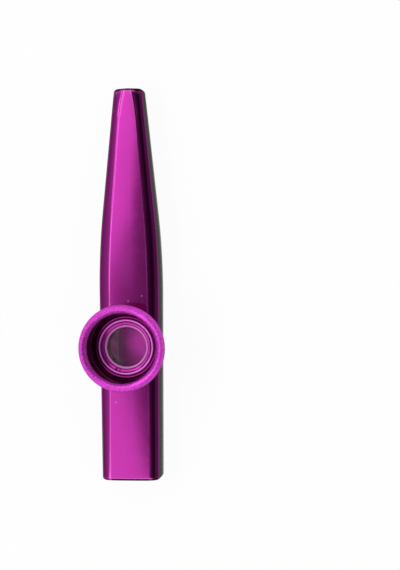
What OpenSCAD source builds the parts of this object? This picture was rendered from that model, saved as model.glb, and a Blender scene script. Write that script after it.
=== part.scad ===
// Metal kazoo lying on its flat back, millimetres.
// +Y runs along the tube to the narrow tip, +X to the right, +Z up through the horn cup.
// The origin is on the surface it lies on, under the middle of its length.

/* [Body tube] */
// Length of the tube, from mouth end to tip
body_len = 120; // [100:1:150]
// Width across the mouth end
mouth_w = 18; // [17:0.1:22]
// Width at the shoulder, where the straight tapers of the sides would meet
shoulder_w = 19.1; // [18:0.1:24]
// Width across the tip
tip_w = 9.2; // [8:0.1:12]
// Thickness from the mouth to the shoulder
body_t = 12; // [11:0.1:15]
// Thickness at the tip
tip_t = 8.6; // [7.5:0.1:11]
// Distance from the mouth end to the shoulder
shoulder_at = 69.5; // [64:0.5:85]
// Half the length over which the shoulder is rounded
shoulder_blend = 13; // [6:0.5:15]
// Wall of the tube
body_wall = 1; // [0.6:0.1:1.2]

/* [Body edges] */
// Width at the mouth of the sloping band beside the flat front and back
bevel_mouth_w = 2.75; // [2:0.05:3.5]
// Width of the sloping band at the shoulder
bevel_shoulder_w = 3.6; // [2.5:0.05:4]
// Width of the sloping band at the tip
bevel_tip_w = 2.55; // [2:0.05:3]
// Slope of the band
bevel_angle = 22; // [12:1:30]
// Width of the rounding between band and side
corner_w = 0.9; // [0.5:0.05:1.2]
// Height of the rounding between band and side
corner_h = 1.4; // [1:0.05:1.8]
// Softening of the crisp edges of the flat front and back
edge_soft = 0.5; // [0.2:0.05:0.6]
// Swell of the sides at mid height
side_swell = 0.15; // [0.05:0.05:0.3]
// Length of the rounding at the open ends
end_round = 1.1; // [0.6:0.1:2]
// How far the open ends draw the sides in
end_draw_w = 1.3; // [0.8:0.1:1.8]
// How far the open ends draw front and back in
end_draw_t = 0.7; // [0.3:0.1:1]
// Flat lip left on the open ends
end_lip = 0.3; // [0.2:0.05:0.4]

/* [Threaded neck] */
// Distance of the neck from the mouth end
neck_at = 41.2; // [32:0.1:48]
// Diameter over the thread of the neck
thread_d = 15.8; // [15.6:0.1:16.4]
// Rise of the cup for one full turn
thread_pitch = 0.75; // [0.5:0.05:1]
// Depth of the thread
thread_depth = 0.35; // [0.2:0.05:0.45]
// Height of the neck above the flat front
neck_h = 2.8; // [2.6:0.1:4]
// Air passage through the neck
neck_bore_d = 12; // [9:0.1:12.4]
// Diameter of the foot that sits on the tube
foot_d = 17.2; // [16.8:0.1:17.4]
// Thickness of the foot on the flat front
foot_t = 0.5; // [0.3:0.1:0.7]
// Diameter of the spigot that is pressed into the tube
spigot_d = 14.4; // [13.6:0.1:15]
// Reach of the spigot below the flat front
spigot_h = 2.1; // [1.8:0.1:3]

/* [Membrane] */
// Diameter of the membrane frame
membrane_d = 15; // [14.4:0.1:15.2]
// Width of the frame ring
frame_w = 1.5; // [1:0.1:1.9]
// Thickness of the frame ring
frame_t = 0.7; // [0.5:0.05:1]
// Thickness of the stretched film
film_t = 0.1; // [0.05:0.01:0.2]
// Thickness of the rubber gasket under the membrane
gasket_t = 0.3; // [0.2:0.05:0.5]
// Width of the gasket ring
gasket_w = 1.3; // [0.8:0.1:1.3]

/* [Horn cup] */
// Diameter of the rim
rim_d = 26; // [25:0.1:30]
// Height of the rim above the flat front
cup_h = 14; // [12:0.1:18]
// Width of the rounded rim
rim_w = 2.7; // [2.2:0.1:2.8]
// Distance of the rim's crest from its inner edge
rim_crest_in = 1.55; // [1.3:0.05:1.7]
// Height of the rounded outside of the rim
rim_round_h = 1.9; // [1.2:0.1:2.4]
// Wall of the bowl
cup_wall = 1.1; // [0.8:0.1:1.3]
// Diameter of the bowl at its floor
floor_d = 18.9; // [18.6:0.1:20]
// Diameter over the threaded base of the cup
base_d = 18.6; // [18.2:0.1:19]
// Height of the straight band round the base
base_h = 1.3; // [0.8:0.1:2]
// How far above the floor of the bowl the outside runs into the straight wall
flare_h = 2.2; // [1.5:0.1:3]
// Opening in the lip that holds the membrane
lip_d = 13.2; // [12:0.1:13.6]
// Thickness of the lip
lip_t = 0.35; // [0.3:0.05:0.8]
// Outer diameter of the raised collar round the lip
collar_d = 16.8; // [16.6:0.1:17.2]
// Inner diameter of the raised collar
throat_d = 15.2; // [14.6:0.1:15.6]
// Height of the raised collar above the lip
collar_h = 0.8; // [0.7:0.05:1.5]
// Rounding of the crest of the collar
collar_round = 0.18; // [0.14:0.01:0.2]
// Width of the small step round the opening in the lip
lip_step_w = 0.2; // [0.1:0.05:0.25]
// Height of that step
lip_step_h = 0.12; // [0.08:0.02:0.16]
// Rise of the shallow cone from that step to the foot of the collar
cone_h = 0.1; // [0.05:0.05:0.2]
// Depth of the trough between collar and bowl wall
trough_h = 0.85; // [0.75:0.05:1]
// Height of the rounding at the bottom of the trough
trough_round = 0.5; // [0.3:0.05:0.5]

/* [Fits] */
// Radial clearance of the screw thread
thread_clear = 0.05; // [0.03:0.01:0.08]
// Radial clearance of pressed and dropped-in pieces
press_clear = 0.02; // [0.01:0.01:0.04]
// Gap between faces that press on the membrane
seat_gap = 0.03; // [0.01:0.01:0.05]
// Gap between the cup and the foot of the neck
foot_gap = 0.2; // [0.1:0.05:0.4]

/* [Hidden] */
$fn = 96;

// Steps of the curves in the tube's cross-section and along its length
side_steps = 2;
corner_steps = 4;
edge_steps = 2;
end_steps = 4;
blend_steps = 6;
close_steps = 3;
// Steps of the curves in the cup's profile
arc_steps = 8;
// Length over which the inside of the tube closes in towards its ends
end_close = 3 * end_round;
// Overrun of the cutting cylinders
overrun = body_t;

// Heights of the stack that the screw thread clamps
seat_z = body_t + neck_h;
film_z = seat_z + gasket_t + seat_gap;
frame_z = film_z + film_t;
lip_z = frame_z + frame_t + seat_gap;
collar_z = lip_z + lip_t;
floor_z = collar_z + collar_h - trough_h;
rim_z = body_t + cup_h;
base_z = body_t + foot_t + foot_gap;
neck_y = neck_at - body_len / 2;

// Radii that two pieces share
thread_r = thread_d / 2;
bore_r = thread_r + thread_clear;
recess_r = membrane_d / 2 + thread_clear;
hole_r = spigot_d / 2 + press_clear;
gasket_r = neck_bore_d / 2 + gasket_w;
rim_in_r = rim_d / 2 - rim_w;

// Thread turns between the foot and the seat of the neck, and in the base of the cup
neck_turns = floor((neck_h - foot_t) / thread_pitch);
cup_turns = floor((seat_z - base_z) / thread_pitch);
// Rounding below the outer edge of the rim
outer_nose = rim_w / 6;
// Rounding on the lower edge of the cup
base_round = thread_depth;
// Depth to which the foot of the neck reaches down beside the flat front
foot_reach = bevel_shoulder_w * tan(bevel_angle);

// A point on the curve that leaves p towards q and arrives at r
function bend(p, q, r, t) = (1 - t) * (1 - t) * p + 2 * t * (1 - t) * q + t * t * r;

// A point on the curve that leaves p towards q and arrives at s from r
function sweep(p, q, r, s, t) =
    (1 - t) * bend(p, q, r, t) + t * bend(q, r, s, t);

// Half width or half thickness at distance u from the mouth end, given it at the mouth, shoulder and tip
function taper(u, at_mouth, at_shoulder, at_tip) =
    let (
        slope_a = (at_shoulder - at_mouth) / shoulder_at,
        slope_b = (at_tip - at_shoulder) / (body_len - shoulder_at),
        into = u - shoulder_at + shoulder_blend
    )
    into <= 0 ? at_mouth + slope_a * u
    : into >= 2 * shoulder_blend ? at_tip + slope_b * (u - body_len)
    : at_mouth + slope_a * u + (slope_b - slope_a) * into * into / (4 * shoulder_blend);
function half_w(u) = taper(u, mouth_w, shoulder_w, tip_w) / 2;
function half_t(u) = taper(u, body_t, body_t, tip_t) / 2;

function bevel_w(u) = taper(u, bevel_mouth_w, bevel_shoulder_w, bevel_tip_w);

// One quarter of the cross-section, from the middle of the side up to the flat front
function quarter(w, h, bevel_w) =
    let (
        slope = tan(bevel_angle),
        bevel_drop = (bevel_w - corner_w) * slope,
        side_x = w - side_swell,
        side_top = h - bevel_drop - corner_h,
        band_end = [w - corner_w, h - bevel_drop],
        turn = [side_x, h - bevel_drop - slope * (corner_w - side_swell)],
        face_x = w - bevel_w
    )
    concat(
        [for (i = [0 : side_steps - 1])
            let (t = i / side_steps) [w - side_swell * t * t, side_top * t]],
        [for (i = [0 : corner_steps])
            bend([side_x, side_top], turn, band_end, i / corner_steps)],
        [for (i = [0 : edge_steps])
            bend([face_x + edge_soft, h - slope * edge_soft], [face_x, h],
                [face_x - edge_soft, h], i / edge_steps)]
    );

// The closed cross-section at distance u from the mouth end, drawn in by two insets
function ring(u, inset_w, inset_t) =
    let (
        w = half_w(u),
        h = half_t(u),
        q = quarter(w, h, bevel_w(u)),
        last = len(q) - 1,
        outline = concat(
            [for (p = q) p],
            [for (i = [last : -1 : 0]) [-q[i].x, q[i].y]],
            [for (i = [1 : last]) -q[i]],
            [for (i = [last : -1 : 1]) [q[i].x, -q[i].y]]
        )
    )
    [for (p = outline)
        [p.x * (w - inset_w) / w, u - body_len / 2, body_t / 2 + p.y * (h - inset_t) / h]];

// Places along the outside, each as distance from its end and the two insets there
outer_end = [for (i = [0 : end_steps])
    let (a = 90 * (1 - i / end_steps))
    [end_round * (1 - sin(a)), end_draw_w * (1 - cos(a)), end_draw_t * (1 - cos(a))]];
// Places along the inside, which closes in to leave the lip
inner_end = [for (i = [0 : close_steps])
    let (t = i / close_steps, left = (1 - t) * (1 - t))
    [end_close * t,
        body_wall + (end_draw_w + end_lip - body_wall) * left,
        body_wall + (end_draw_t + end_lip - body_wall) * left]];

// Rings from the mouth to the tip, for one set of end places
function rings(end_places, inset) = concat(
    [for (e = end_places) ring(e[0], e[1], e[2])],
    [for (i = [0 : blend_steps])
        ring(shoulder_at + shoulder_blend * (2 * i / blend_steps - 1), inset, inset)],
    [for (i = [len(end_places) - 1 : -1 : 0])
        let (e = end_places[i]) ring(body_len - e[0], e[1], e[2])]
);

// The two triangles between neighbouring points j and j + 1 of the rings a and b
function patch(a, b, j, n) =
    let (k = (j + 1) % n)
    [[a * n + j, a * n + k, b * n + j], [a * n + k, b * n + k, b * n + j]];

function flat(lists) = [for (l = lists) for (p = l) p];

// The tube's wall as one skin: along the outside, round the tip, back inside, round the mouth
module tube() {
    outside = rings(outer_end, 0);
    inside = rings(inner_end, body_wall);
    loops = concat(outside, [for (i = [len(inside) - 1 : -1 : 0]) inside[i]]);
    n = len(loops[0]);
    m = len(loops);
    polyhedron(
        points = flat(loops),
        faces = [for (i = [0 : m - 1]) for (j = [0 : n - 1]) for (f = patch(i, (i + 1) % m, j, n)) f],
        convexity = 4
    );
}

// The tube filled solid, which shapes whatever sits on it
module tube_core() {
    loops = rings(outer_end, 0);
    n = len(loops[0]);
    m = len(loops);
    middle = [0, body_len / 2, body_t / 2];
    polyhedron(
        points = concat(flat(loops), [-middle + [0, 0, body_t], middle]),
        faces = concat(
            [for (j = [0 : n - 1]) [m * n, (j + 1) % n, j]],
            [for (i = [0 : m - 2]) for (j = [0 : n - 1]) for (f = patch(i, i + 1, j, n)) f],
            [for (j = [0 : n - 1]) [m * n + 1, (m - 1) * n + j, (m - 1) * n + (j + 1) % n]]
        ),
        convexity = 4
    );
}

// Drawn aluminium tube with the round hole for the neck
module body_shell() {
    color("#c22cab")
    difference() {
        tube();
        translate([0, neck_y, body_t / 2])
            cylinder(r = hole_r, h = overrun);
    }
}

// Thread ridges as points on a profile, from the height z upwards, with crest r and root r + step
function ridges(r, step, z, turns) = [for (i = [0 : turns - 1])
    each [[r, z + i * thread_pitch], [r + step, z + (i + 1 / 2) * thread_pitch]]];

// Turned neck: foot shaped to the tube, spigot in its hole, thread outside, air passage inside
module turret_neck() {
    thread_z = seat_z - neck_turns * thread_pitch;
    color("#a8268f")
    translate([0, neck_y, 0])
    difference() {
        union() {
            difference() {
                translate([0, 0, body_t - foot_reach])
                    cylinder(d = foot_d, h = foot_reach + foot_t);
                translate([0, -neck_y, 0])
                    tube_core();
            }
            translate([0, 0, body_t - spigot_h])
                cylinder(d = spigot_d, h = spigot_h + foot_t);
            rotate_extrude()
                polygon(concat(
                    [[0, body_t]],
                    [[thread_r - thread_depth, body_t]],
                    [[thread_r - thread_depth, thread_z - thread_depth]],
                    ridges(thread_r, -thread_depth, thread_z, neck_turns),
                    [[thread_r - thread_depth, seat_z]],
                    [[0, seat_z]]
                ));
        }
        translate([0, 0, body_t - overrun])
            cylinder(d = neck_bore_d, h = 2 * overrun);
    }
}

// Rubber ring on the seat of the neck
module seat_gasket() {
    color("#26242a")
    translate([0, neck_y, seat_z])
    difference() {
        cylinder(r = gasket_r, h = gasket_t);
        translate([0, 0, -gasket_t])
            cylinder(d = neck_bore_d, h = 3 * gasket_t);
    }
}

// Thin film stretched under its frame
module membrane_film() {
    color("#b9a9b6")
    translate([0, neck_y, film_z])
        cylinder(d = membrane_d, h = film_t);
}

// Translucent plastic ring that the film is glued to
module membrane_frame() {
    color("#efe9ee")
    translate([0, neck_y, frame_z])
    difference() {
        cylinder(d = membrane_d, h = frame_t);
        translate([0, 0, -frame_t])
            cylinder(d = membrane_d - 2 * frame_w, h = 3 * frame_t);
    }
}

// Points on an ellipse quarter about centre c, from angle a to angle b
function arc(c, rx, rz, a, b) = [for (i = [0 : arc_steps])
    let (g = a + (b - a) * i / arc_steps) c + [rx * cos(g), rz * sin(g)]];

// Profile of the cup, from the foot of its bore up the throat, down the trough, up the bowl,
// over the rim and down the outside
function cup_profile() =
    let (
        base_r = base_d / 2,
        floor_r = floor_d / 2,
        lean = (rim_in_r - floor_r) / (rim_z - rim_crest_in - floor_z),
        wall_r = floor_r + cup_wall,
        edge_z = rim_z - rim_round_h,
        under_z = edge_z - rim_round_h,
        under_r = wall_r + lean * (under_z - floor_z),
        band_z = base_z + base_h,
        nose_r = rim_d / 2 - outer_nose,
        step_r = lip_d / 2 + lip_step_w
    )
    concat(
        [[bore_r + base_round, base_z]],
        ridges(bore_r, thread_depth, base_z + base_round, cup_turns),
        [[bore_r, seat_z]],
        [[recess_r, seat_z]],
        [[recess_r, lip_z]],
        [[lip_d / 2, lip_z]],
        [[lip_d / 2, collar_z]],
        [[step_r, collar_z]],
        [[step_r, collar_z + lip_step_h]],
        [[throat_d / 2, collar_z + lip_step_h + cone_h]],
        arc([collar_d / 2 - collar_round, collar_z + collar_h - collar_round],
            collar_round, collar_round, 180, 0),
        arc([(collar_d / 2 + floor_r) / 2, floor_z + trough_round],
            (floor_r - collar_d / 2) / 2, trough_round, 180, 360),
        arc([rim_in_r + rim_crest_in, rim_z - rim_crest_in], rim_crest_in, rim_crest_in, 180, 90),
        arc([rim_in_r + rim_crest_in, edge_z], rim_w - rim_crest_in, rim_round_h, 90, 0),
        arc([nose_r, edge_z], outer_nose, outer_nose, 0, -90),
        [for (i = [1 : arc_steps])
            bend([nose_r, edge_z - outer_nose], [under_r, edge_z - outer_nose],
                [under_r, under_z], i / arc_steps)],
        [for (i = [0 : arc_steps])
            sweep([wall_r + lean * flare_h, floor_z + flare_h], [wall_r, floor_z],
                [base_r, (band_z + floor_z) / 2], [base_r, band_z], i / arc_steps)],
        [[base_r, base_z + base_round]],
        [[base_r - base_round, base_z]]
    );

// Turned cup: threaded base, lip over the membrane, raised collar, bowl and rounded rim
module horn_cup() {
    color("#d23cbb")
    translate([0, neck_y, 0])
    rotate_extrude()
        polygon(cup_profile());
}

body_shell();
turret_neck();
seat_gasket();
membrane_film();
membrane_frame();
horn_cup();
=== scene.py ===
"""Metal kazoo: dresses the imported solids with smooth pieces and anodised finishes, and sets the stage.

Every length is in metres, in the frame of the solids: +Y along the tube to the tip, +Z up
through the horn cup, and the surface that the kazoo lies on at z = 0.
"""

import math

import bpy
from bpy.props import FloatProperty, FloatVectorProperty, IntProperty, PointerProperty
from mathutils import Matrix, Vector


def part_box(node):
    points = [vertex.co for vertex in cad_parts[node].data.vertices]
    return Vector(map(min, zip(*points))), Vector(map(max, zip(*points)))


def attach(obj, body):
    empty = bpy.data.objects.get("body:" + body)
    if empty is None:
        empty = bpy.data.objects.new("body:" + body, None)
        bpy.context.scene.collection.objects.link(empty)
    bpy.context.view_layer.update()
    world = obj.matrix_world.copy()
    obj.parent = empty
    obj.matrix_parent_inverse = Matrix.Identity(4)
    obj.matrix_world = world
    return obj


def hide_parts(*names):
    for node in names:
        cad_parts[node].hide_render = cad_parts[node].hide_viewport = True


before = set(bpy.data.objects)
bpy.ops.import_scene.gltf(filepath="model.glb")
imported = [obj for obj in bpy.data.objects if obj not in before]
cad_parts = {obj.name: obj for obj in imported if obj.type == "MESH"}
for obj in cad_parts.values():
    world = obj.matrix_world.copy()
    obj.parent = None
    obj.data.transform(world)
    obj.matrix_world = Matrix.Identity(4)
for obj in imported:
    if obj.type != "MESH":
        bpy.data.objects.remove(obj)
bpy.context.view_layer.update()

bl_info = {
    "name": "Kazoo",
    "version": (1, 0, 0),
    "blender": (4, 5, 0),
    "location": "View3D > Sidebar > Kazoo",
    "description": "Smooth tube, threaded neck, membrane and horn cup with anodised finishes",
    "category": "Object",
}

MM = 0.001
TUBE_LOW, TUBE_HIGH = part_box("body_shell")
NECK_LOW, NECK_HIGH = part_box("turret_neck")
FILM_LOW, FILM_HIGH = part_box("membrane_film")
FRAME_LOW, FRAME_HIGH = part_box("membrane_frame")
CUP_LOW, CUP_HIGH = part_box("horn_cup")
CUP_Y = (CUP_LOW[1] + CUP_HIGH[1]) / 2
TUBE_MIDDLE = (TUBE_LOW[2] + TUBE_HIGH[2]) / 2
WHITE = (1.0, 1.0, 1.0, 1.0)

# What all anodised finishes share: the tint of grazing reflections and the clear outer layer
ANODISED = {"Specular_Tint": (0.10, 0.04, 0.07, 1.0), "Coat_Roughness": 0.06, "Coat_IOR": 1.5}


# Properties


def length(name, default, description):
    return FloatProperty(
        name=name, default=default, description=description,
        subtype="DISTANCE", unit="LENGTH", min=0.0, precision=6,
    )


def colour(name, default, description):
    return FloatVectorProperty(
        name=name, default=default, description=description,
        subtype="COLOR", size=3, min=0.0, max=1.0,
    )


def share(name, default, description):
    return FloatProperty(
        name=name, default=default, description=description, subtype="FACTOR", min=0.0, max=1.0,
    )


class KazooTubeSettings(bpy.types.PropertyGroup):
    """Sizes and finish of the tube"""

    mouth_width: length("Mouth width", 18 * MM, "Width across the mouth end")
    shoulder_width: length("Shoulder width", 19.1 * MM, "Width where the straight tapers would meet")
    tip_width: length("Tip width", 9.2 * MM, "Width across the tip")
    thickness: length("Thickness", TUBE_HIGH[2] - TUBE_LOW[2], "Thickness from the mouth to the shoulder")
    tip_thickness: length("Tip thickness", 8.6 * MM, "Thickness at the tip")
    shoulder_at: length("Shoulder place", 69.5 * MM, "Distance from the mouth end to the shoulder")
    shoulder_blend: length("Shoulder rounding", 13 * MM, "Half the length of the rounded shoulder")
    wall: length("Wall", 1 * MM, "Wall of the tube")
    band_mouth: length("Band at the mouth", 2.75 * MM, "Width of the sloping band at the mouth")
    band_shoulder: length("Band at the shoulder", 3.6 * MM, "Width of the sloping band at the shoulder")
    band_tip: length("Band at the tip", 2.55 * MM, "Width of the sloping band at the tip")
    band_slope: FloatProperty(
        name="Band slope", default=math.radians(22), subtype="ANGLE", unit="ROTATION",
        description="Slope of the bands beside the flat front and back",
    )
    corner_width: length("Corner width", 0.9 * MM, "Width of the rounding between band and side")
    corner_height: length("Corner height", 1.4 * MM, "Height of the rounding between band and side")
    band_swell: length("Band swell", 0.06 * MM, "Swell of the sloping bands across their width")
    band_flare: length("Band flare at the tip", 0.75 * MM, "How much wider the bands grow right at the tip")
    band_flare_reach: length("Band flare reach", 9 * MM, "Distance from the tip over which the bands widen")
    edge_soft: length("Edge softness", 0.32 * MM, "Softening of the edges of the flat front and back")
    crown: length("Front crown", 0.12 * MM, "How far the drawn front falls from its middle to its edges")
    side_swell: length("Side swell", 0.15 * MM, "Swell of the sides at mid height")
    end_round: length("End rounding", 1.1 * MM, "Length of the rounding at the open ends")
    end_draw_width: length("End draw in width", 1.3 * MM, "How far the open ends draw the sides in")
    end_draw_thickness: length("End draw in thickness", 0.7 * MM, "How far the ends draw front and back in")
    end_lip: length("End lip", 0.3 * MM, "Flat lip left on the open ends")
    colour: colour("Tube colour", (0.62, 0.038, 0.45), "Colour of the polished anodised tube")
    # Painted shade: how far the tube's upright sides are darkened
    painted_side_shade: share("Dye depth", 0.7, "How much deeper the dye is on the upright sides")
    # How far edge roundings and end folds are paled: partly wear, partly a painted highlight
    edge_wear_and_highlight: share("Edge wear", 0.26, "How far the worn edges have paled")


class KazooNeckSettings(bpy.types.PropertyGroup):
    """Sizes and finish of the threaded neck and its gasket"""

    bore: length("Bore", 12 * MM, "Air passage through the neck")
    spigot: length("Spigot", 14.4 * MM, "Diameter of the spigot in the tube")
    foot: length("Foot", 17.2 * MM, "Diameter of the foot on the tube")
    foot_thickness: length("Foot thickness", 0.5 * MM, "Thickness of the foot on the flat front")
    thread: length("Thread", 15.8 * MM, "Diameter over the thread")
    thread_depth: length("Thread depth", 0.35 * MM, "Depth of the thread")
    pitch: length("Pitch", 0.75 * MM, "Rise of the cup for one turn")
    colour: colour("Neck colour", (0.55, 0.034, 0.40), "Colour of the turned anodised neck")
    gasket_colour: colour("Gasket colour", (0.022, 0.021, 0.024), "Colour of the rubber gasket")


class KazooMembraneSettings(bpy.types.PropertyGroup):
    """Sizes and finish of the membrane"""

    frame_width: length("Frame width", 1.5 * MM, "Width of the plastic ring")
    film_thickness: length("Film thickness", 0.04 * MM, "Thickness of the stretched film")
    film_ripple: length("Film ripple", 0.012 * MM, "Height of the faint ripples in the film")
    film_gloss: share("Film gloss", 0.026, "How much light each side of the film throws back")
    film_colour: colour("Film colour", (0.95, 0.86, 0.98), "Colour of the light that the film throws back")
    frame_colour: colour("Frame colour", (1.0, 0.34, 0.92), "Colour of the translucent ring")


class KazooCupSettings(bpy.types.PropertyGroup):
    """Sizes and finish of the horn cup"""

    rim_width: length("Rim width", 2.7 * MM, "Width of the rounded rim")
    crest_in: length("Rim crest", 1.55 * MM, "Distance of the rim's crest from its inner edge")
    rim_height: length("Rim rounding", 1.9 * MM, "Height of the rounded outside of the rim")
    wall: length("Bowl wall", 1.1 * MM, "Wall of the bowl")
    floor: length("Bowl floor", 18.9 * MM, "Diameter of the bowl at its floor")
    base: length("Base", 18.6 * MM, "Diameter over the threaded base")
    base_height: length("Base height", 1.3 * MM, "Height of the straight band round the base")
    flare_height: length("Flare height", 2.2 * MM, "Where the outside runs into the straight wall")
    lip: length("Lip", 13.2 * MM, "Opening in the lip over the membrane")
    lip_thickness: length("Lip thickness", 0.35 * MM, "Thickness of the lip")
    seat_gap: length("Seat gap", 0.03 * MM, "Gap between the ring of the membrane and the lip")
    collar: length("Collar", 16.8 * MM, "Outer diameter of the raised collar")
    throat: length("Throat", 15.2 * MM, "Inner diameter of the raised collar")
    collar_height: length("Collar height", 0.8 * MM, "Height of the collar above the lip")
    collar_round: length("Collar rounding", 0.30 * MM, "Rounding of the crest of the collar")
    lip_step_width: length("Lip step width", 0.2 * MM, "Width of the small step round the lip's opening")
    lip_step_height: length("Lip step height", 0.12 * MM, "Height of the step round the lip's opening")
    cone_height: length("Cone height", 0.1 * MM, "Rise of the shallow cone from the lip to the collar")
    trough_round: length("Trough rounding", 0.5 * MM, "Height of the rounding at the bottom of the trough")
    trough: length("Trough", 0.85 * MM, "Depth of the trough round the collar")
    clearance: length("Thread clearance", 0.05 * MM, "Radial clearance of the screw thread")
    colour: colour("Cup colour", (0.62, 0.038, 0.46), "Colour of the polished bowl")
    rim_colour: colour("Rim colour", (0.96, 0.092, 0.85), "Colour of the satin rim")
    # Painted shade: how far the wall of the bowl is darkened
    bowl_painted_shade: share("Bowl depth", 0.45, "How much deeper the dye is on the wall of the bowl")
    segments: IntProperty(name="Segments", default=384, min=48, description="Facets round the cup")


class KazooStageSettings(bpy.types.PropertyGroup):
    """Camera, lamps and floor"""

    camera_at: FloatVectorProperty(
        name="Camera place", default=(0.07476, 0.0049, 0.430), size=3,
        subtype="TRANSLATION", unit="LENGTH", description="Where the camera stands",
    )
    camera_aim: FloatVectorProperty(
        name="Camera aim", default=(0.02132, -0.000405, 0.006), size=3,
        subtype="TRANSLATION", unit="LENGTH", description="The point that the camera looks at",
    )
    camera_roll: FloatProperty(
        name="Camera roll", default=math.radians(-0.552), subtype="ANGLE", unit="ROTATION",
        description="Turn of the camera about its line of sight",
    )
    lens: FloatProperty(name="Lens", default=87.9, description="Focal length in millimetres")
    floor_colour: colour("Floor colour", (0.90, 0.90, 0.90), "Colour of the pale floor")
    sky: share("Room light", 0.75, "Strength of the even light on matt surfaces")
    ceiling: share("Ceiling", 0.01, "Brightness of the dark ceiling in the metal")
    walls: share("Walls", 0.17, "Brightness of the walls near the horizon in the metal")
    panel: share("Panel", 0.98, "Brightness of the broad overhead panel in the metal")
    strip: share("Strip", 0.75, "How much brighter the strip near the panel's far edge is")
    skirt: share("Skirt", 0.50, "Brightness beside the panel, towards its far edge")
    shade: share("Shade", 0.14, "Brightness of the dim part opposite the panel")
    side: share("Side", 0.11, "How much brighter the low part on that side is")
    floor_glow: share("Floor glow", 0.94, "How far the floor shows white in place of its matt paper")
    key: FloatProperty(name="Key lamp", default=0.9, unit="POWER", description="Power of the softbox")
    key_at: FloatVectorProperty(
        name="Key place", default=(-0.26, 0.0, 0.50), size=3,
        subtype="TRANSLATION", unit="LENGTH", description="Where the softbox hangs",
    )
    key_length: length("Key length", 0.50, "Longer side of the softbox")
    key_width: length("Key width", 0.10, "Shorter side of the softbox")


SETTINGS = {
    "kazoo_tube": KazooTubeSettings,
    "kazoo_neck": KazooNeckSettings,
    "kazoo_membrane": KazooMembraneSettings,
    "kazoo_cup": KazooCupSettings,
    "kazoo_stage": KazooStageSettings,
}


# Shader maths


class Link:
    """A socket of a shader tree; operators on it add Math or Vector Math nodes"""

    def __init__(self, shader, socket):
        self.shader = shader
        self.socket = socket

    def other(self, name):
        """Another output of the same node"""
        return Link(self.shader, self.socket.node.outputs[name])

    def _math(self, operation, a, b):
        vector = any(isinstance(v, (tuple, Vector)) or getattr(v, "is_vector", False) for v in (a, b))
        kind = "ShaderNodeVectorMath" if vector else "ShaderNodeMath"
        return self.shader.node(kind, {"operation": operation}, {0: a, 1: b})

    @property
    def is_vector(self):
        return self.socket.type == "VECTOR"

    def __add__(self, value):
        return self._math("ADD", self, value)

    def __radd__(self, value):
        return self._math("ADD", value, self)

    def __sub__(self, value):
        return self._math("SUBTRACT", self, value)

    def __rsub__(self, value):
        return self._math("SUBTRACT", value, self)

    def __mul__(self, value):
        return self._math("MULTIPLY", self, value)

    def __rmul__(self, value):
        return self._math("MULTIPLY", value, self)

    def __neg__(self):
        return self._math("MULTIPLY", self, -1.0)


class Shader:
    """The node tree of a material or of the world"""

    def __init__(self, owner):
        owner.use_nodes = True
        self.tree = owner.node_tree
        self.tree.nodes.clear()

    def node(self, kind, settings=None, inputs=None, out=0):
        """One node: its settings first, then the values or links of its sockets"""
        made = self.tree.nodes.new(kind)
        for name, value in (settings or {}).items():
            setattr(made, name, value)
        for key, value in (inputs or {}).items():
            if isinstance(value, Link):
                self.tree.links.new(value.socket, made.inputs[key])
            else:
                made.inputs[key].default_value = value
        return Link(self, made.outputs[out])

    def place(self):
        """Places on the piece in its own frame"""
        return self.node("ShaderNodeTexCoord", out="Object")

    def normal(self):
        """The three parts of the surface's own normal"""
        return self.split(self.node("ShaderNodeTexCoord", out="Normal"))

    def split(self, vector):
        x = self.node("ShaderNodeSeparateXYZ", None, {0: vector})
        return x, x.other("Y"), x.other("Z")

    def noise(self, vector, scale=1.0, detail=2.0, roughness=0.5):
        return self.node(
            "ShaderNodeTexNoise", None,
            {"Vector": vector, "Scale": scale, "Detail": detail, "Roughness": roughness},
        )

    def step(self, value, low, high):
        """A smooth step from 0 at low to 1 at high"""
        return self.node(
            "ShaderNodeMapRange", {"interpolation_type": "SMOOTHSTEP"},
            {"Value": value, "From Min": low, "From Max": high},
        )

    def hump(self, value, low, low_full, high_full, high):
        """1 between the two middle values, falling smoothly to 0 at the outer ones"""
        return self.step(value, low, low_full) * (1 - self.step(value, high_full, high))

    def turned_lines(self, place, across, along):
        """The distance from the cup's axis, and fine lines turned about it

        The lines' counts per metre are given across and along them.
        """
        x, y, z = self.split(place)
        off_y = y - CUP_Y
        radius = self.root(x * x + off_y * off_y)
        ring = self.node("ShaderNodeCombineXYZ", None, {0: radius * across, 1: z * across, 2: x * along})
        return radius, self.noise(ring, detail=3.0)

    def larger(self, a, b):
        return self.node("ShaderNodeMath", {"operation": "MAXIMUM"}, {0: a, 1: b})

    def root(self, value):
        return self.node("ShaderNodeMath", {"operation": "SQRT"}, {0: value})

    def size(self, value):
        return self.node("ShaderNodeMath", {"operation": "ABSOLUTE"}, {0: value})

    def mix(self, factor, a, b):
        """A colour between a and b"""
        return self.node(
            "ShaderNodeMix", {"data_type": "RGBA", "clamp_factor": True}, {0: factor, 6: a, 7: b}, out=2
        )

    def tint(self, colour, value):
        """A colour made lighter or darker by a number"""
        grey = self.node("ShaderNodeCombineColor", None, {0: value, 1: value, 2: value})
        return self.node(
            "ShaderNodeMix", {"data_type": "RGBA", "blend_type": "MULTIPLY"},
            {0: 1.0, 6: colour, 7: grey}, out=2,
        )

    def bump(self, height, depth, normal=None):
        """A normal from a height of 0 to 1 over the given depth in metres"""
        inputs = {"Strength": 1.0, "Distance": depth, "Height": height}
        if normal:
            inputs["Normal"] = normal
        return self.node("ShaderNodeBump", None, inputs)

    def surface(self, **sockets):
        """The principled shader, with its sockets by name"""
        values = {name.replace("_", " "): value for name, value in sockets.items()}
        return self.node("ShaderNodeBsdfPrincipled", None, values)

    def finish(self, shader, kind="ShaderNodeOutputMaterial"):
        out = self.tree.nodes.new(kind)
        self.tree.links.new(shader.socket, out.inputs["Surface"])


def rgba(colour, level=1.0):
    """A colour made lighter or darker by a level, with full alpha"""
    return (*(part * level for part in tuple(colour)[:3]), 1.0)


def new_material(name):
    material = bpy.data.materials.new(name)
    return material, Shader(material)


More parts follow.
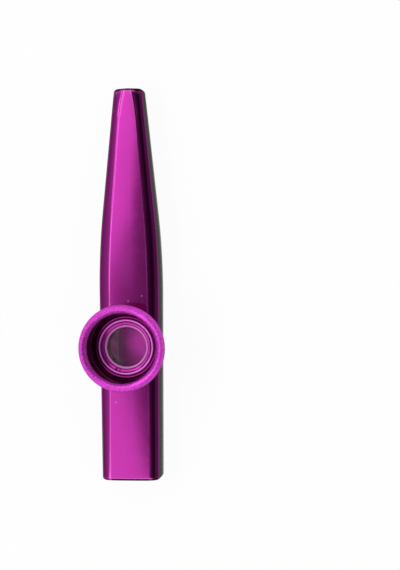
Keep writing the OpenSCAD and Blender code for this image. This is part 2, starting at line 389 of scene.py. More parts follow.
def specks(shader, place, size, share_kept):
    """Sparse specks, 1 on a speck and 0 between, about the given size apart"""
    cell = shader.node("ShaderNodeTexVoronoi", {"feature": "F1"}, {"Vector": place, "Scale": 1 / size})
    picked = shader.step(shader.split(cell.other("Color"))[0], 1 - share_kept, 1.0)
    return picked * (1 - shader.step(cell, 0.1, 0.3))


def polished_anodised(name, colour, turned=False, depth=0.0, wear_and_highlight=0.0):
    """Polished aluminium under a magenta anodised layer, drawn along Y or turned about the cup

    On a drawn piece the upright sides are darkened by the given depth, a painted shade, and the inside
    is lightened, a painted light. Surfaces that face along Y, as round the open ends, are darkened:
    painted shade. Edge roundings and the start of the end folds are paled by the given share: partly
    wear, partly a painted highlight. Where a part of the finish lies follows from the normal.
    """
    material, shader = new_material(name)
    place = shader.place()
    x, y, z = shader.split(place)
    if turned:
        lines = shader.turned_lines(place, 9000.0, 120.0)[1]
    else:
        lines = shader.noise(place * (9000.0, 60.0, 9000.0), detail=3.0)
    cloud = shader.noise(place, 140.0, detail=3.0)
    ripple = shader.noise(place, 260.0, detail=1.0)
    grain = shader.noise(place, 1500.0, detail=3.0)
    dust = specks(shader, place, 1.4 * MM, 0.04)
    normal_x, normal_y, normal_z = shader.normal()
    tilt_x, tilt_y, facing = (shader.size(part) for part in (normal_x, normal_y, normal_z))
    outward = x * normal_x + (z - TUBE_MIDDLE) * normal_z
    # The tube's inside, lightened below: painted light
    inside = 0.0 if turned else 1 - shader.step(outward, -1.5 * MM, -0.5 * MM)
    # Normal masks for the painted shade on the upright and low sides
    side = 1 - shader.step(facing, 0.66, 0.93)
    low_side_shade = 1 - shader.step(facing, 0.50, 0.82)
    upright = 1 - shader.step(facing, 0.05, 0.35)
    # Surfaces facing along Y, as round the open ends, darkened below: painted shade
    end = shader.step(tilt_y, 0.16, 0.50)
    # Edge roundings and the start of the end folds, paled and made less metallic below: partly wear, partly a
    # painted highlight
    edge = shader.hump(tilt_x, 0.05, 0.11, 0.18, 0.26)
    fold = shader.hump(tilt_y, 0.10, 0.15, 0.20, 0.30) * (1 - side)
    worn = shader.larger(edge, fold) * (0.4 + cloud * 0.8) * wear_and_highlight
    # Painted shade on the upright sides and on surfaces facing along Y, and painted light on the tube's inside
    tone_and_painted_shading = (1 - side * depth) * (1 - low_side_shade * (0.5 * depth)) * (1 - end * 0.75) * (1 + inside * 0.3)
    base = shader.tint(rgba(colour), (0.88 + cloud * 0.12 + grain * 0.12) * tone_and_painted_shading)
    base = shader.mix(worn, base, (1.0, 0.42, 0.92, 1.0))
    base = shader.mix(dust * 0.25, base, (0.95, 0.55, 0.88, 1.0))
    rough = 0.08 + lines * 0.02 + cloud * 0.03 + grain * 0.04 + dust * 0.25 + inside * 0.24
    coat = (0.2 + side * 0.25 - upright * 0.25) * (1 - end * 0.7)
    normal = shader.bump(ripple, 6e-6)
    normal = shader.bump(lines * 0.1 + grain, 1.5e-7, normal)
    shader.finish(shader.surface(
        Base_Color=base, Metallic=1 - worn * 0.8, Roughness=rough, Normal=normal, Coat_Weight=coat, **ANODISED
    ))
    return material


def cup_levels(cup):
    """Heights of the top of the lip, the crest of the collar and the floor of the bowl"""
    lip_top = FRAME_HIGH[2] + cup.seat_gap + cup.lip_thickness
    collar_top = lip_top + cup.collar_height
    return lip_top, collar_top, collar_top - cup.trough


def bowl_lean(cup):
    """How far the wall of the bowl opens outward for its height"""
    rise = CUP_HIGH[2] - cup.crest_in - cup_levels(cup)[2]
    return (CUP_HIGH[0] - cup.rim_width - cup.floor / 2) / rise


def cup_finish(name, cup):
    """Polished bowl and throat with a bead-blasted satin rim. The collar's crest is paled: a painted highlight.
    The bowl's wall, the rim's outer slope and surfaces facing down are darkened: painted shade.
    """
    material, shader = new_material(name)
    place = shader.place()
    z = shader.split(place)[2]
    radius, turned = shader.turned_lines(place, 7000.0, 90.0)
    grain = shader.noise(place, 2800.0, detail=4.0, roughness=0.65)
    coarse = shader.noise(place, 1400.0, detail=3.0)
    cloud = shader.noise(place, 180.0, detail=2.0)
    facing = shader.normal()[2]
    top, inner = CUP_HIGH[2], CUP_HIGH[0] - cup.rim_width
    rim_crest = inner + cup.crest_in
    lip_top, collar_top, floor_z = cup_levels(cup)
    collar, floor = cup.collar / 2, cup.floor / 2

    rim = shader.step(z, top - cup.rim_height * 1.5, top - cup.rim_height * 0.9)
    rim = rim * shader.step(radius, inner - 0.05 * MM, inner + 0.15 * MM)
    outside = rim * shader.step(radius, rim_crest - 0.4 * MM, rim_crest + 0.15 * MM)
    # Painted shade: the rim's outer slope is darkened as it turns away from facing up
    edge = outside * (1 - shader.step(facing, 0.15, 0.75))
    # Painted shade: surfaces facing down are darkened
    under = 1 - shader.step(facing, -0.35, 0.05)
    from_floor = radius - (z - floor_z) * bowl_lean(cup) - floor
    # The bowl's wall, darkened below by painted shade
    wall = shader.step(radius, collar + 0.05 * MM, collar + 0.2 * MM)
    wall = wall * (1 - shader.step(from_floor, 0.3 * MM, 0.7 * MM))
    wall = wall * shader.step(z, floor_z - 0.3 * MM, floor_z - 0.1 * MM)
    # The collar's crest, paled and made less metallic below: a painted highlight
    crest = shader.hump(radius, collar - 0.68 * MM, collar - 0.50 * MM, collar - 0.08 * MM, collar)
    crest = crest * shader.step(z, collar_top - 0.2 * MM, collar_top - 0.1 * MM)

    # Random tone, with painted shade on the bowl's wall
    tone_and_painted_shading = (0.9 + cloud * 0.14 + turned * 0.06) * (1 - wall * cup.bowl_painted_shade)
    # The collar's crest is paled towards a near-white pink: a painted highlight
    polished = shader.mix(crest, shader.tint(rgba(cup.colour), tone_and_painted_shading), (1.0, 0.26, 0.95, 1.0))
    blasted = shader.step(grain * 0.6 + coarse * 0.4, 0.38, 0.60)
    satin = shader.mix(blasted, rgba(cup.rim_colour, 0.60), rgba(cup.rim_colour))
    # Painted shade on the rim's outer slope and on surfaces facing down
    base = shader.tint(shader.mix(rim, polished, satin), (1 - edge * 0.25) * (1 - under * 0.5))
    rough = 0.10 + turned * 0.07 + wall * 0.06 + rim * (0.12 + grain * 0.06) + outside * 0.20 + crest * 0.15
    normal = shader.bump((grain + coarse * 0.6) * (rim * 0.3 + outside * 0.7), 1.6e-5)
    normal = shader.bump(turned * (1 - rim), 8e-7, normal)
    shader.finish(shader.surface(
        Base_Color=base, Metallic=1 - rim * 0.18 - outside * 0.26 - crest * 0.35, Roughness=rough,
        Normal=normal, Coat_Weight=(1 - rim) * 0.2, **ANODISED
    ))
    return material


def film_finish(name, membrane):
    """Clear stretched film: a faint mirror with fine rub lines and a crease. It is more reflective towards -x:
    partly rub marks, partly a painted reflection.
    """
    material, shader = new_material(name)
    place = shader.place()
    x = shader.split(place)[0]
    lines = shader.noise(place * (5200.0, 180.0, 900.0), detail=3.0)
    cloud = shader.noise(place, 420.0, detail=2.0)
    # More reflective towards -x: partly rub marks, partly a painted reflection
    rubbed_and_painted_sheen = 1 - shader.step(x + (cloud - 0.5) * 1.2 * MM, -1.6 * MM, -1.1 * MM)
    crease = 1 - shader.step(shader.size(x + 2.0 * MM + (cloud - 0.5) * 0.6 * MM), 0.05 * MM, 0.30 * MM)
    gloss = membrane.film_gloss * (0.4 + lines * 0.4 + rubbed_and_painted_sheen * (0.5 + lines * 0.7)) * (1 - crease * 0.3)
    shader.finish(shader.surface(
        Base_Color=shader.mix(cloud, rgba(membrane.film_colour), rgba(membrane.film_colour, 0.8)),
        Metallic=0.9, Roughness=0.14 + lines * 0.10, Alpha=gloss, Normal=shader.bump(lines, 2.5e-6),
    ))
    return material


def frame_finish(name, membrane):
    """Translucent moulded plastic ring"""
    material, shader = new_material(name)
    place = shader.place()
    cloud = shader.noise(place, 700.0, detail=3.0)
    grain = shader.noise(place, 5200.0, detail=2.0)
    shader.finish(shader.surface(
        Base_Color=shader.mix(cloud, rgba(membrane.frame_colour), rgba(membrane.frame_colour, 0.86)),
        Metallic=0.2, Roughness=0.32 + grain * 0.12, Normal=shader.bump(grain, 2e-6), IOR=1.5,
        Coat_Weight=0.2, Coat_Roughness=0.1, Alpha=0.80 + cloud * 0.1,
    ))
    return material


def rubber_finish(name, neck):
    """Matte black rubber with a fine moulded grain"""
    material, shader = new_material(name)
    place = shader.place()
    grain = shader.noise(place, 6000.0, detail=3.0)
    cloud = shader.noise(place, 900.0, detail=2.0)
    shader.finish(shader.surface(
        Base_Color=shader.mix(cloud, rgba(neck.gasket_colour), rgba(neck.gasket_colour, 1.8)),
        Roughness=0.62 + grain * 0.2, Normal=shader.bump(grain, 4e-6),
    ))
    return material


# Mesh building


def loft(name, rings, closed=False, capped=False, sharp=35.0):
    """A piece whose skin joins closed rings of points, each to the next"""
    count = len(rings[0])
    points = [p for ring in rings for p in ring]
    faces = []
    pairs = len(rings) if closed else len(rings) - 1
    for i in range(pairs):
        a, b = i * count, (i + 1) % len(rings) * count
        for j in range(count):
            k = (j + 1) % count
            faces.append((a + j, a + k, b + k, b + j))
    if capped:
        faces.append(tuple(reversed(range(count))))
        faces.append(tuple(range(len(points) - count, len(points))))
    mesh = bpy.data.meshes.new(name)
    mesh.from_pydata(points, [], faces)
    mesh.validate()
    mesh.shade_smooth()
    mesh.set_sharp_from_angle(angle=math.radians(sharp))
    piece = bpy.data.objects.new(name, mesh)
    bpy.context.scene.collection.objects.link(piece)
    return piece


def even_normals(piece):
    """Keeps the flat faces flat and the roundings round in the shading"""
    flats = piece.modifiers.new("Even normals", "WEIGHTED_NORMAL")
    flats.keep_sharp = True


def cut(piece, cutter):
    """Cuts one piece with another, which is then removed"""
    boolean = piece.modifiers.new("Cut", "BOOLEAN")
    boolean.operation = "DIFFERENCE"
    boolean.solver = "EXACT"
    boolean.object = cutter
    bpy.context.view_layer.update()
    evaluated = piece.evaluated_get(bpy.context.evaluated_depsgraph_get())
    mesh = bpy.data.meshes.new_from_object(evaluated)
    piece.modifiers.clear()
    old = piece.data
    piece.data = mesh
    mesh.name = piece.name
    bpy.data.meshes.remove(old)
    bpy.data.objects.remove(cutter)


def give(piece, material, slot, body, *nodes):
    """Sets a piece's finish and ties it to its body, in place of the given solids"""
    piece.data.materials.clear()
    piece.data.materials.append(material)
    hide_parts(*nodes)
    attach(piece, body)


def bend(p, q, r, t):
    """A point on the curve that leaves p towards q and arrives at r"""
    return (1 - t) ** 2 * p + 2 * t * (1 - t) * q + t * t * r


def sweep(p, q, r, s, t):
    """A point on the curve that leaves p towards q and arrives at s from r"""
    return (1 - t) * bend(p, q, r, t) + t * bend(q, r, s, t)


def arc(centre, rx, rz, start, end, steps=16):
    """Points on an ellipse from one angle to another, in degrees"""
    turned = [math.radians(start + (end - start) * i / steps) for i in range(steps + 1)]
    return [Vector((centre[0] + rx * math.cos(g), centre[1] + rz * math.sin(g))) for g in turned]


def turn(profile_at, segments, centre_y=CUP_Y):
    """Rings of a turned piece, one for each angle, from a profile that may change with the angle

    The profile runs clockwise, with the radius to the right and the height up, so that the faces look out.
    """
    rings = []
    for i in range(segments):
        angle = math.tau * i / segments
        out_x, out_y = math.cos(angle), math.sin(angle)
        rings.append([Vector((p[0] * out_x, centre_y + p[0] * out_y, p[1])) for p in profile_at(angle)])
    return rings


def smooth(value, low, high):
    t = min(max((value - low) / (high - low), 0.0), 1.0)
    return t * t * (3 - 2 * t)


# The tube


class TubeShape:
    """The tube's cross-section and how it changes along its length"""

    side_steps = 6
    corner_steps = 14
    band_steps = 8
    edge_steps = 10
    face_steps = 8
    end_steps = 12
    blend_steps = 28
    flare_steps = 12
    barrel_steps = 30
    close_steps = 8

    def __init__(self, tube):
        self.tube = tube
        self.length = TUBE_HIGH[1] - TUBE_LOW[1]

    def taper(self, u, at_mouth, at_shoulder, at_tip):
        """Width or thickness at distance u from the mouth end"""
        blend = self.tube.shoulder_blend
        slope_a = (at_shoulder - at_mouth) / self.tube.shoulder_at
        slope_b = (at_tip - at_shoulder) / (self.length - self.tube.shoulder_at)
        into = u - self.tube.shoulder_at + blend
        if into <= 0:
            return at_mouth + slope_a * u
        if into >= 2 * blend:
            return at_tip + slope_b * (u - self.length)
        return at_mouth + slope_a * u + (slope_b - slope_a) * into * into / (4 * blend)

    def sizes(self, u):
        """Half width, half thickness and band width at distance u from the mouth end"""
        tube = self.tube
        near_tip = max(1 - (self.length - u) / tube.band_flare_reach, 0.0)
        band = self.taper(u, tube.band_mouth, tube.band_shoulder, tube.band_tip)
        return (
            self.taper(u, tube.mouth_width, tube.shoulder_width, tube.tip_width) / 2,
            self.taper(u, tube.thickness, tube.thickness, tube.tip_thickness) / 2,
            band + tube.band_flare * near_tip ** 2,
        )

    def quarter(self, w, h, band):
        """A quarter of the cross-section, from the middle of the side to the flat front"""
        tube = self.tube
        slope = math.tan(tube.band_slope)
        drop = (band - tube.corner_width) * slope
        side_x = w - tube.side_swell
        side_top = h - drop - tube.corner_height
        face_x = w - band
        soft = tube.edge_soft
        low, high = Vector((w - tube.corner_width, h - drop)), Vector((face_x + soft, h - slope * soft))
        across = high - low
        outward = Vector((across.y, -across.x)).normalized()
        swell = (low + high) / 2 + outward * 2 * tube.band_swell
        corner = low + (low - swell) * (side_x - low.x) / (low.x - swell.x)
        edge = high + (high - swell) * (h - high.y) / (high.y - swell.y)
        points = [
            Vector((w - tube.side_swell * t * t, side_top * t))
            for t in (i / self.side_steps for i in range(self.side_steps))
        ]
        points += [
            bend(Vector((side_x, side_top)), corner, low, i / self.corner_steps)
            for i in range(self.corner_steps + 1)
        ]
        points += [bend(low, swell, high, i / self.band_steps) for i in range(1, self.band_steps)]
        flat = Vector((face_x - soft, h))
        points += [bend(high, edge, flat, i / self.edge_steps) for i in range(self.edge_steps + 1)]
        points += [Vector((flat.x * (1 - i / self.face_steps), h)) for i in range(1, self.face_steps)]
        return points

    def ring(self, u, inset_w, inset_t):
        """The closed cross-section at distance u from the mouth end, drawn in by two insets"""
        w, h, band = self.sizes(u)
        q = self.quarter(w, h, band)
        outline = q + [Vector((-p.x, p.y)) for p in reversed(q)]
        outline += [-p for p in q[1:]] + [Vector((p.x, -p.y)) for p in reversed(q[1:])]
        return [
            Vector((
                p.x * (w - inset_w) / w,
                TUBE_LOW[1] + u,
                TUBE_MIDDLE + p.y * (h - inset_t) / h - self.fall(p, w - band, h),
            ))
            for p in outline
        ]

    def fall(self, p, face_x, h):
        """How far the crowned front lies below a flat one"""
        return self.tube.crown * min(abs(p.x) / face_x, 1.0) ** 2 * smooth(p.y / h, 0.2, 1.0)

    def rings(self, ends, inset):
        """Rings from end to end, each open end given as distances along and two insets"""
        tube, steps = self.tube, self.flare_steps
        first, last = ends[-1][0], tube.shoulder_at - tube.shoulder_blend
        places = [first + (last - first) * i / self.barrel_steps for i in range(1, self.barrel_steps)]
        places += [
            tube.shoulder_at + tube.shoulder_blend * (2 * i / self.blend_steps - 1)
            for i in range(self.blend_steps + 1)
        ]
        places += [self.length - tube.band_flare_reach * (1 - i / steps) for i in range(steps - 2)]
        made = [self.ring(*end) for end in ends] + [self.ring(u, inset, inset) for u in places]
        return made + [self.ring(self.length - u, a, b) for u, a, b in reversed(ends)]

    def skin(self):
        """All rings: along the outside, round the tip and back inside"""
        tube = self.tube
        outer = []
        for i in range(self.end_steps + 1):
            angle = math.radians(90 * (1 - i / self.end_steps))
            fold = 1 - math.cos(angle)
            outer.append((
                tube.end_round * (1 - math.sin(angle)),
                tube.end_draw_width * fold,
                tube.end_draw_thickness * fold,
            ))
        inner = []
        for i in range(self.close_steps + 1):
            t = i / self.close_steps
            left = (1 - t) ** 2
            inner.append((
                3 * tube.end_round * t,
                tube.wall + (tube.end_draw_width + tube.end_lip - tube.wall) * left,
                tube.wall + (tube.end_draw_thickness + tube.end_lip - tube.wall) * left,
            ))
        return self.rings(outer, 0.0) + list(reversed(self.rings(inner, tube.wall)))

    def top(self, x, y):
        """Height of the tube's outside above a point of its front"""
        w, h, band = self.sizes(y - TUBE_LOW[1])
        face_x = w - band
        drop = max(abs(x) - face_x, 0.0) * math.tan(self.tube.band_slope)
        return TUBE_MIDDLE + h - drop - self.fall(Vector((x, h)), face_x, h)


class KAZOO_OT_tube(bpy.types.Operator):
    """Build the drawn tube with its round hole"""

    bl_idname = "kazoo.tube"
    bl_label = "Build tube"

    def execute(self, context):
        tube, neck = context.scene.kazoo_tube, context.scene.kazoo_neck
        piece = loft("drawn_tube", TubeShape(tube).skin(), closed=True)
        radius = neck.spigot / 2
        hole = [Vector((radius, z)) for z in (TUBE_MIDDLE, TUBE_HIGH[2] + tube.wall)]
        rings = turn(lambda angle: hole, 128)
        walls = [[ring[i] for ring in rings] for i in range(2)]
        cut(piece, loft("hole_cutter", walls, capped=True))
        even_normals(piece)
        # The tube's sides get painted shade, and its edges are paled: partly wear, partly a painted highlight
        finish = polished_anodised("polished_tube", tube.colour, depth=tube.painted_side_shade, wear_and_highlight=tube.edge_wear_and_highlight)
        give(piece, finish, "body_anodised", "body", "body_shell")
        return {"FINISHED"}


# The neck


def thread(angle, z, pitch):
    """Height of a right-handed thread, 0 in its groove and 1 on its crest"""
    t = (z / pitch - angle / math.tau) % 1.0
    return 1 - abs(2 * t - 1)


class KAZOO_OT_neck(bpy.types.Operator):
    """Build the threaded neck and finish its gasket"""

    bl_idname = "kazoo.neck"
    bl_label = "Build neck"

    def execute(self, context):
        tube, neck = context.scene.kazoo_tube, context.scene.kazoo_neck
        shape = TubeShape(tube)
        bore, spigot, foot = neck.bore / 2, neck.spigot / 2, neck.foot / 2
        root = neck.thread / 2 - neck.thread_depth
        foot_top = TUBE_HIGH[2] + neck.foot_thickness
        low, seat = NECK_LOW[2], NECK_HIGH[2]
        soft = 0.1 * MM

        def profile(angle):
            def on_tube(r):
                return shape.top(r * math.cos(angle), CUP_Y + r * math.sin(angle))

            points = [
                Vector((bore, low + soft)), Vector((bore + soft, low)),
                Vector((spigot - soft, low)), Vector((spigot, low + soft)),
            ]
            points += [Vector((r, on_tube(r))) for r in (spigot + (foot - spigot) * i / 8 for i in range(9))]
            points += arc((foot - soft, foot_top - soft), soft, soft, 0, 90, 4)
            rows = 60
            for i in range(rows + 1):
                z = foot_top + (seat - foot_top) * i / rows
                fade = smooth(z, foot_top, foot_top + neck.pitch / 2)
                fade *= 1 - smooth(z, seat - neck.pitch / 2, seat)
                points.append(Vector((root + neck.thread_depth * fade * thread(angle, z, neck.pitch), z)))
            points += [Vector((bore + soft, seat)), Vector((bore, seat - soft))]
            return points[::-1]

        piece = loft("threaded_neck", turn(profile, 192), closed=True)
        even_normals(piece)
        finish = polished_anodised("turned_neck", neck.colour, turned=True)
        give(piece, finish, "neck_anodised", "body", "turret_neck")
        gasket = bpy.data.objects["seat_gasket"]
        gasket.data.materials.clear()
        gasket.data.materials.append(rubber_finish("black_rubber", neck))
        return {"FINISHED"}


# The membrane


class KAZOO_OT_membrane(bpy.types.Operator):
    """Build the stretched film and its plastic ring"""

    bl_idname = "kazoo.membrane"
    bl_label = "Build membrane"

    def execute(self, context):
        membrane = context.scene.kazoo_membrane
        radius = (FRAME_HIGH[0] - FRAME_LOW[0]) / 2
        inner = radius - membrane.frame_width
        low, high = FRAME_LOW[2], FRAME_HIGH[2]
        soft = 0.16 * MM
        ring = (
            arc((radius - soft, low + soft), soft, soft, -90, 0, 5)
            + arc((radius - soft, high - soft), soft, soft, 0, 90, 5)
            + arc((inner + 2 * soft, high - 2 * soft), 2 * soft, 2 * soft, 90, 180, 8)
            + arc((inner + soft, low + soft), soft, soft, 180, 270, 5)
        )
        piece = loft("membrane_ring", turn(lambda angle: ring[::-1], 192), closed=True)
        give(piece, frame_finish("ring_plastic", membrane), "frame_plastic", "membrane", "membrane_frame")

        middle = (FILM_LOW[2] + FILM_HIGH[2]) / 2

        def film_ring(r, side):
            """Points of the film at a radius, on its upper side for 1 and its lower side for -1"""
            points = []
            for i in range(144):
                angle = math.tau * i / 144
                x, y = r * math.cos(angle), r * math.sin(angle)
                free = 1 - smooth(r, inner * 0.8, inner)
                lift = (math.sin(x * 1900 + 0.7 * math.sin(y * 900)) + math.sin(y * 1300 + x * 400)) * 0.5
                pull = math.cos(7 * angle) * smooth(r, inner * 0.3, inner * 0.9)
                ripple = membrane.film_ripple * free * (lift + pull)
                points.append(Vector((x, CUP_Y + y, middle + ripple + side * membrane.film_thickness / 2)))
            return points

        radii = [radius * i / 24 for i in range(1, 25)]
        rings = [film_ring(r, -1) for r in radii] + [film_ring(r, 1) for r in reversed(radii)]
        film = loft("stretched_film", rings, capped=True, sharp=60.0)
        give(film, film_finish("clear_film", membrane), "film_clear", "membrane", "membrane_film")
        return {"FINISHED"}


# The cup


class KAZOO_OT_cup(bpy.types.Operator):
    """Build the turned horn cup"""

    bl_idname = "kazoo.cup"
    bl_label = "Build cup"

    def execute(self, context):
        cup, neck = context.scene.kazoo_cup, context.scene.kazoo_neck
        rim_r = CUP_HIGH[0]
        rim_z, base_z, seat = CUP_HIGH[2], CUP_LOW[2], NECK_HIGH[2]
        rim_in = rim_r - cup.rim_width
        bore = neck.thread / 2 + cup.clearance
        recess = FRAME_HIGH[0] + cup.clearance
        lip_z = FRAME_HIGH[2] + cup.seat_gap
        collar_z, collar_top, floor_z = cup_levels(cup)
        lip_r, floor_r, base_r, collar_r = cup.lip / 2, cup.floor / 2, cup.base / 2, cup.collar / 2
        rim_round = cup.crest_in
        lean = bowl_lean(cup)
        wall_r = floor_r + cup.wall
        edge_z = rim_z - cup.rim_height
        under_z = edge_z - cup.rim_height
        under_r = wall_r + lean * (under_z - floor_z)
        band_z = base_z + cup.base_height
        # The rim's outer nose and the collar's bead are flatter than round
        nose = cup.rim_width / 6
        bead = 0.35 * cup.collar_round
        crest_r, crest_z = collar_r - cup.collar_round, collar_top - bead
        step_r = lip_r + cup.lip_step_width
        cone_low = collar_z + cup.lip_step_height
        cone_high = cone_low + cup.cone_height
        soft = 0.1 * MM

        trough = arc(
            ((collar_r + floor_r) / 2, floor_z + cup.trough_round),
            (floor_r - collar_r) / 2, cup.trough_round, 180, 360, 20,
        )
        rise = rim_z - rim_round - floor_z - cup.trough_round
        bowl = [
            Vector((floor_r + lean * z, floor_z + z))
            for z in (cup.trough_round + rise * i / 24 for i in range(1, 24))
        ]
        rim = (
            arc((rim_in + rim_round, rim_z - rim_round), rim_round, rim_round, 180, 90, 24)
            + arc((rim_in + rim_round, edge_z), cup.rim_width - rim_round, cup.rim_height, 90, 0, 28)[1:]
            + arc((rim_r - nose, edge_z), nose, nose, 0, -90, 8)[1:]
        )
        under = [
            bend(
                Vector((rim_r - nose, edge_z - nose)), Vector((under_r, edge_z - nose)),
                Vector((under_r, under_z)), i / 16,
            )
            for i in range(1, 17)
        ]
        flare = [
            sweep(
                Vector((wall_r + lean * cup.flare_height, floor_z + cup.flare_height)), Vector((wall_r, floor_z)),
                Vector((base_r, (band_z + floor_z) / 2)), Vector((base_r, band_z)), i / 24,
            )
            for i in range(25)
        ]
        foot = [
            Vector((base_r, base_z + 3 * soft)), Vector((base_r - soft, base_z + soft)),
            Vector((base_r - 3 * soft, base_z)),
        ]
        seat_and_lip = [
            Vector((bore, seat)), Vector((recess, seat)), Vector((recess, lip_z)), Vector((lip_r + soft, lip_z)),
            Vector((lip_r, lip_z + soft)), Vector((lip_r, collar_z - soft)),
        ]

        def profile(angle):
            points = [Vector((bore + 3 * soft, base_z))]
            rows = 44
            for i in range(rows + 1):
                z = base_z + soft + (seat - base_z - 2 * soft) * i / rows
                fade = smooth(z, base_z, base_z + neck.pitch / 3) * (1 - smooth(z, seat - neck.pitch / 2, seat))
                points.append(Vector((bore + neck.thread_depth * fade * thread(angle, z, neck.pitch), z)))
            points += seat_and_lip + throat(angle) + crest(angle)
            return points + trough[1:] + bowl + rim + under + flare + foot

        def throat(angle):
            """The step round the lip and the shallow cone up to the collar, with tool marks and two dents"""
            points = [
                Vector((step_r - soft / 2, collar_z)), Vector((step_r, collar_z + soft / 2)),
                Vector((step_r, cone_low - soft / 2)),
            ]
            rows = 40
            first, last = Vector((step_r + soft / 2, cone_low)), Vector((crest_r - cup.collar_round, crest_z))
            knee = Vector((cup.throat / 2, cone_high))
            dents = 0.22 * MM * near(angle, -110, 7) + 0.08 * MM * near(angle, 97, 5)
            for i in range(rows + 1):
                t = i / rows
                p = bend(first, knee, last, t)
                tool_mark = 0.03 * MM * (1 - thread(angle, t, 0.24))
                p.y -= (tool_mark + dents) * smooth(t, 0.05, 0.15) * (1 - smooth(t, 0.75, 0.95))
                points.append(p)
            return points

        def near(angle, degrees, width):
            """1 at an angle round the cup, falling to 0 beside it"""
            away = abs((angle - math.radians(degrees) + math.pi) % math.tau - math.pi)
            return 1 - smooth(away, math.radians(width / 3), math.radians(width))

        def crest(angle):
            """The bead on top of the collar, with one worn spot"""
            made = arc((crest_r, crest_z), cup.collar_round, bead, 180, 0, 16)[1:]
            worn = 0.12 * MM * near(angle, -13, 2)
            return [Vector((p.x - worn * smooth(p.x, crest_r, collar_r), p.y)) for p in made]

        piece = loft("turned_cup", turn(profile, cup.segments), closed=True, sharp=40.0)
        even_normals(piece)
        give(piece, cup_finish("cup_anodised_finish", cup), "cup_anodised", "cup", "horn_cup")
        return {"FINISHED"}


# The stage


def add_camera(stage):
    """The camera at the photograph's viewing angle"""
    eye, aim = Vector(stage.camera_at), Vector(stage.camera_aim)
    ahead = (aim - eye).normalized()
    right = ahead.cross(Vector((0, 1, 0))).normalized()
    up = right.cross(ahead)
    turned = stage.camera_roll
    right, up = (
        right * math.cos(turned) + up * math.sin(turned),
        up * math.cos(turned) - right * math.sin(turned),
    )
    data = bpy.data.cameras.new("camera")
    data.lens = stage.lens
    data.sensor_width = 36
    data.clip_start, data.clip_end = 0.01, 20
    camera = bpy.data.objects.new("camera", data)
    camera.matrix_world = Matrix.Translation(eye) @ Matrix((right, up, -ahead)).transposed().to_4x4()
    bpy.context.scene.collection.objects.link(camera)
    bpy.context.scene.camera = camera


def add_key(stage):
    """A softbox overhead, which lights matt surfaces and is not mirrored by the metal"""
    data = bpy.data.lights.new("key_softbox", "AREA")
    data.shape = "RECTANGLE"
    data.size, data.size_y = stage.key_length, stage.key_width
    data.energy = stage.key
    lamp = bpy.data.objects.new("key_softbox", data)
    at, aim = Vector(stage.key_at), Vector((0, 0, 0.01))
    facing = (aim - at).to_track_quat("-Z", "Y")
    lamp.matrix_world = Matrix.Translation(at) @ facing.to_matrix().to_4x4()
    lamp.visible_glossy = False
    bpy.context.scene.collection.objects.link(lamp)


def light_room(stage):
    """The room that the metal mirrors, as its brightness in each direction

    Pale walls stand near the horizon. A broad panel hangs overhead to the left, with a bright strip
    near its far edge and a dimmer skirt beside it, and the part to the right is dim. Matt surfaces
    get an even light in its place.
    """
    world = bpy.data.worlds.new("studio")
    bpy.context.scene.world = world
    shader = Shader(world)
    x, y, z = shader.split(shader.node("ShaderNodeTexCoord", out="Generated"))
    away = shader.size(y)
    walls = (1 - shader.step(z, 0.20, 0.42)) * stage.walls

    # The panel's near edge bows towards the left in the middle
    near_edge = 1.7 * shader.root(y * y + 0.0008) - 0.342
    panel = shader.step(near_edge - x, -0.045, 0.04) * (1 - shader.step(x, 0.28, 0.42))
    bright = stage.panel + 0.20 * shader.step(y, 0.13, 0.19) + 0.12 * shader.step(-x, 0.24, 0.34)
    far = -x - 0.08 * shader.step(shader.size(y + 0.07), 0.02, 0.09)
    bright = bright + stage.strip * shader.step(-x, 0.45, 0.51) * (1 - shader.step(far, 0.52, 0.565))
    beyond = shader.step(far, 0.52, 0.58)
    bright = bright * (1 - beyond) + (0.45 + 0.85 * (x + 0.62)) * beyond

    # The skirt has a dark gap level with the cup
    notch = 1 - shader.step(shader.size(y + 0.028), 0.005, 0.045)
    skirt = (stage.skirt - 0.38 * notch) * shader.step(-x, 0.09, 0.19)
    panel = (panel * bright + (1 - panel) * skirt) * (1 - 0.8 * shader.step(away, 0.60, 0.90))
    shade = stage.shade * (1 - shader.step(x, 0.0, 0.62)) * (1 - shader.step(away, 0.3, 0.6))
    shade = shade + stage.side * shader.step(x, 0.58, 0.70)
    seen = shader.larger(shader.larger(walls, panel), shade) + stage.ceiling
    even = shader.node("ShaderNodeLightPath").other("Is Diffuse Ray")
    strength = seen * (1 - even) + even * stage.sky
    shader.finish(
        shader.node("ShaderNodeBackground", None, {"Color": WHITE, "Strength": strength}),
        "ShaderNodeOutputWorld",
    )


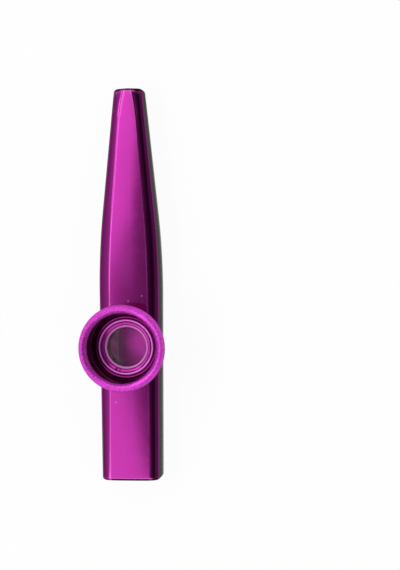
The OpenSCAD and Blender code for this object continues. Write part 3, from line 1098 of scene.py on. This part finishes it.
def add_floor(stage):
    """A pale floor that sweeps up into the backdrop"""
    flat, rise = 0.7, 0.25
    outline = [Vector((0.01 * 1.6 ** i, 0.0)) for i in range(9)] + [Vector((flat, 0.0))]
    outline += arc((flat, rise), rise, rise, -90, -26, 8)[1:]
    columns = turn(lambda angle: outline, 96, centre_y=0.0)
    rings = [list(ring) for ring in zip(*columns)]
    floor = loft("floor", rings)
    centre = bpy.data.meshes.new("floor_centre")
    centre.from_pydata([tuple(p) for p in rings[0]], [], [tuple(range(len(columns)))])
    material, shader = new_material("pale_paper")
    grain = shader.noise(shader.place(), 900.0, detail=3.0)
    paper = shader.mix(grain, rgba(stage.floor_colour), rgba(stage.floor_colour, 0.985))
    matt = shader.surface(
        Base_Color=paper, Roughness=0.9, Specular_IOR_Level=0.1, Normal=shader.bump(grain, 2e-5)
    )
    glow = shader.node("ShaderNodeEmission", None, {"Color": WHITE, "Strength": 1.0})
    camera_ray = shader.node("ShaderNodeLightPath")
    seen = shader.larger(camera_ray, camera_ray.other("Is Glossy Ray"))
    seen = shader.larger(seen, camera_ray.other("Is Transmission Ray"))
    shader.finish(shader.node("ShaderNodeMixShader", None, {0: seen * stage.floor_glow, 1: matt, 2: glow}))
    floor.data.materials.append(material)
    disc = bpy.data.objects.new("floor_centre", centre)
    centre.materials.append(material)
    bpy.context.scene.collection.objects.link(disc)


class KAZOO_OT_stage(bpy.types.Operator):
    """Set the camera, the lamps and the floor"""

    bl_idname = "kazoo.stage"
    bl_label = "Set stage"

    def execute(self, context):
        stage = context.scene.kazoo_stage
        context.scene.view_settings.view_transform = "Standard"
        add_camera(stage)
        light_room(stage)
        add_floor(stage)
        add_key(stage)
        return {"FINISHED"}


# Panel and registration


class KAZOO_PT_sidebar(bpy.types.Panel):
    """Lists the kazoo's pieces and settings"""

    bl_label = "Kazoo"
    bl_space_type = "VIEW_3D"
    bl_region_type = "UI"
    bl_category = "Kazoo"

    def draw(self, context):
        for name, kind in SETTINGS.items():
            box = self.layout.box()
            for key in kind.__annotations__:
                box.prop(getattr(context.scene, name), key)
            operator = STEPS.get(name)
            if operator:
                box.operator(operator.bl_idname)


STEPS = {
    "kazoo_tube": KAZOO_OT_tube,
    "kazoo_neck": KAZOO_OT_neck,
    "kazoo_membrane": KAZOO_OT_membrane,
    "kazoo_cup": KAZOO_OT_cup,
    "kazoo_stage": KAZOO_OT_stage,
}


def register():
    for kind in (*SETTINGS.values(), *STEPS.values(), KAZOO_PT_sidebar):
        bpy.utils.register_class(kind)
    for name, kind in SETTINGS.items():
        setattr(bpy.types.Scene, name, PointerProperty(type=kind))


def unregister():
    for name in SETTINGS:
        delattr(bpy.types.Scene, name)
    for kind in (KAZOO_PT_sidebar, *reversed(STEPS.values()), *reversed(SETTINGS.values())):
        bpy.utils.unregister_class(kind)


def main():
    register()
    bpy.ops.kazoo.tube()
    bpy.ops.kazoo.neck()
    bpy.ops.kazoo.membrane()
    bpy.ops.kazoo.cup()
    bpy.ops.kazoo.stage()


if __name__ == "__main__":
    main()
